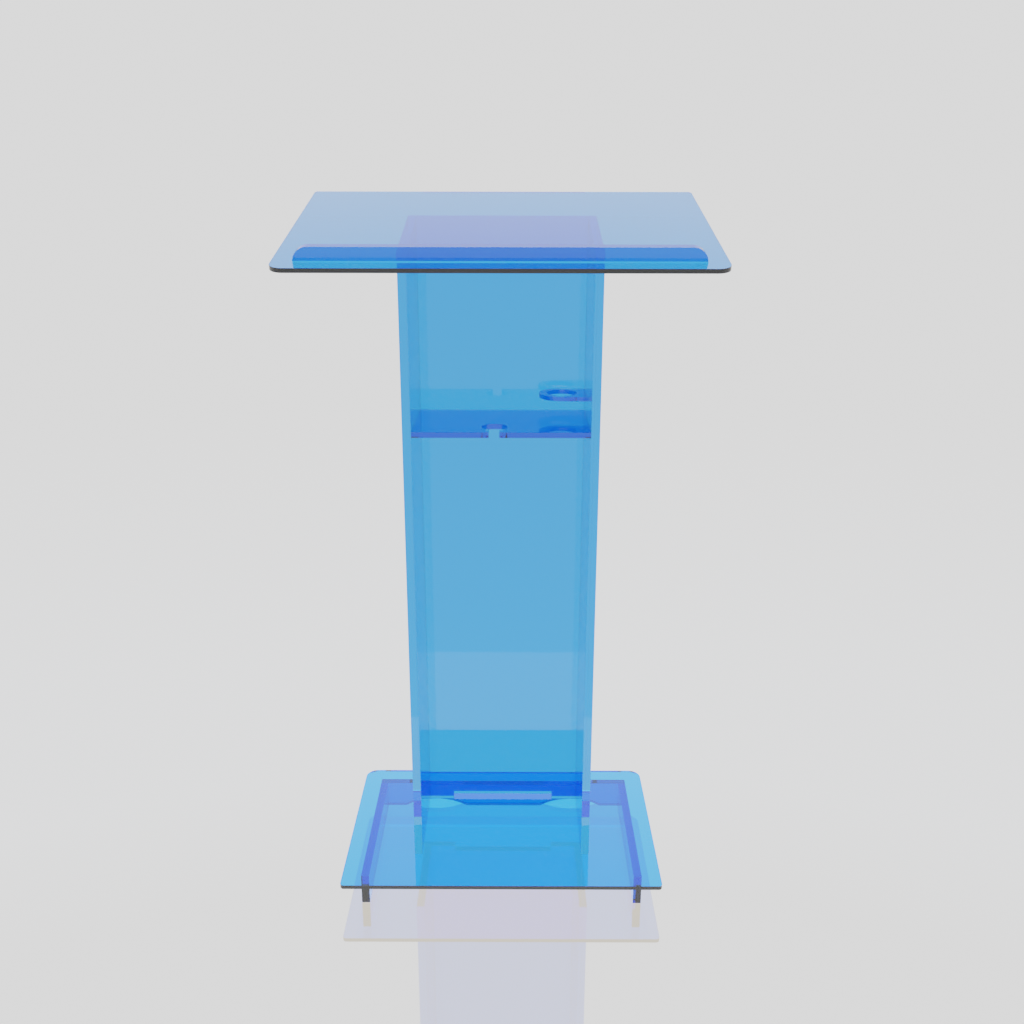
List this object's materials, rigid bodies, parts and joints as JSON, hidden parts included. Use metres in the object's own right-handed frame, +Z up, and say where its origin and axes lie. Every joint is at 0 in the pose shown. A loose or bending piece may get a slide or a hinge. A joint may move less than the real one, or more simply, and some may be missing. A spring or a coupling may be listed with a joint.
{
  "type": "presentation lectern",
  "caption": "Free-standing lectern cemented from clear blue acrylic sheet: sloping top with book stop on an open-backed column with a shelf and glass holder.",
  "frame": {"origin": "on the floor, under the middle of the whole lectern's width and depth", "axes": "+X to the speaker's right, +Y away from the speaker towards the audience, +Z up"},
  "size_m": [0.6, 0.383, 1.075],
  "materials": {
    "plate_acrylic": "polished cast acrylic, blue tint",
    "panel_acrylic": "polished cast acrylic, blue tint",
    "blade_acrylic": "polished cast acrylic, blue tint",
    "shelf_acrylic": "polished cast acrylic, blue tint",
    "stop_acrylic": "polished cast acrylic, blue tint"
  },
  "bodies": {
    "root": {"top_plate": "plate_acrylic", "base_plate": "plate_acrylic", "glass_holder": "plate_acrylic", "shelf": "shelf_acrylic", "side_panel_left": "panel_acrylic", "side_panel_right": "panel_acrylic", "front_panel": "panel_acrylic", "runner_left": "blade_acrylic", "runner_right": "blade_acrylic", "rear_rail": "blade_acrylic", "book_stop": "stop_acrylic"}
  },
  "joints": []
}
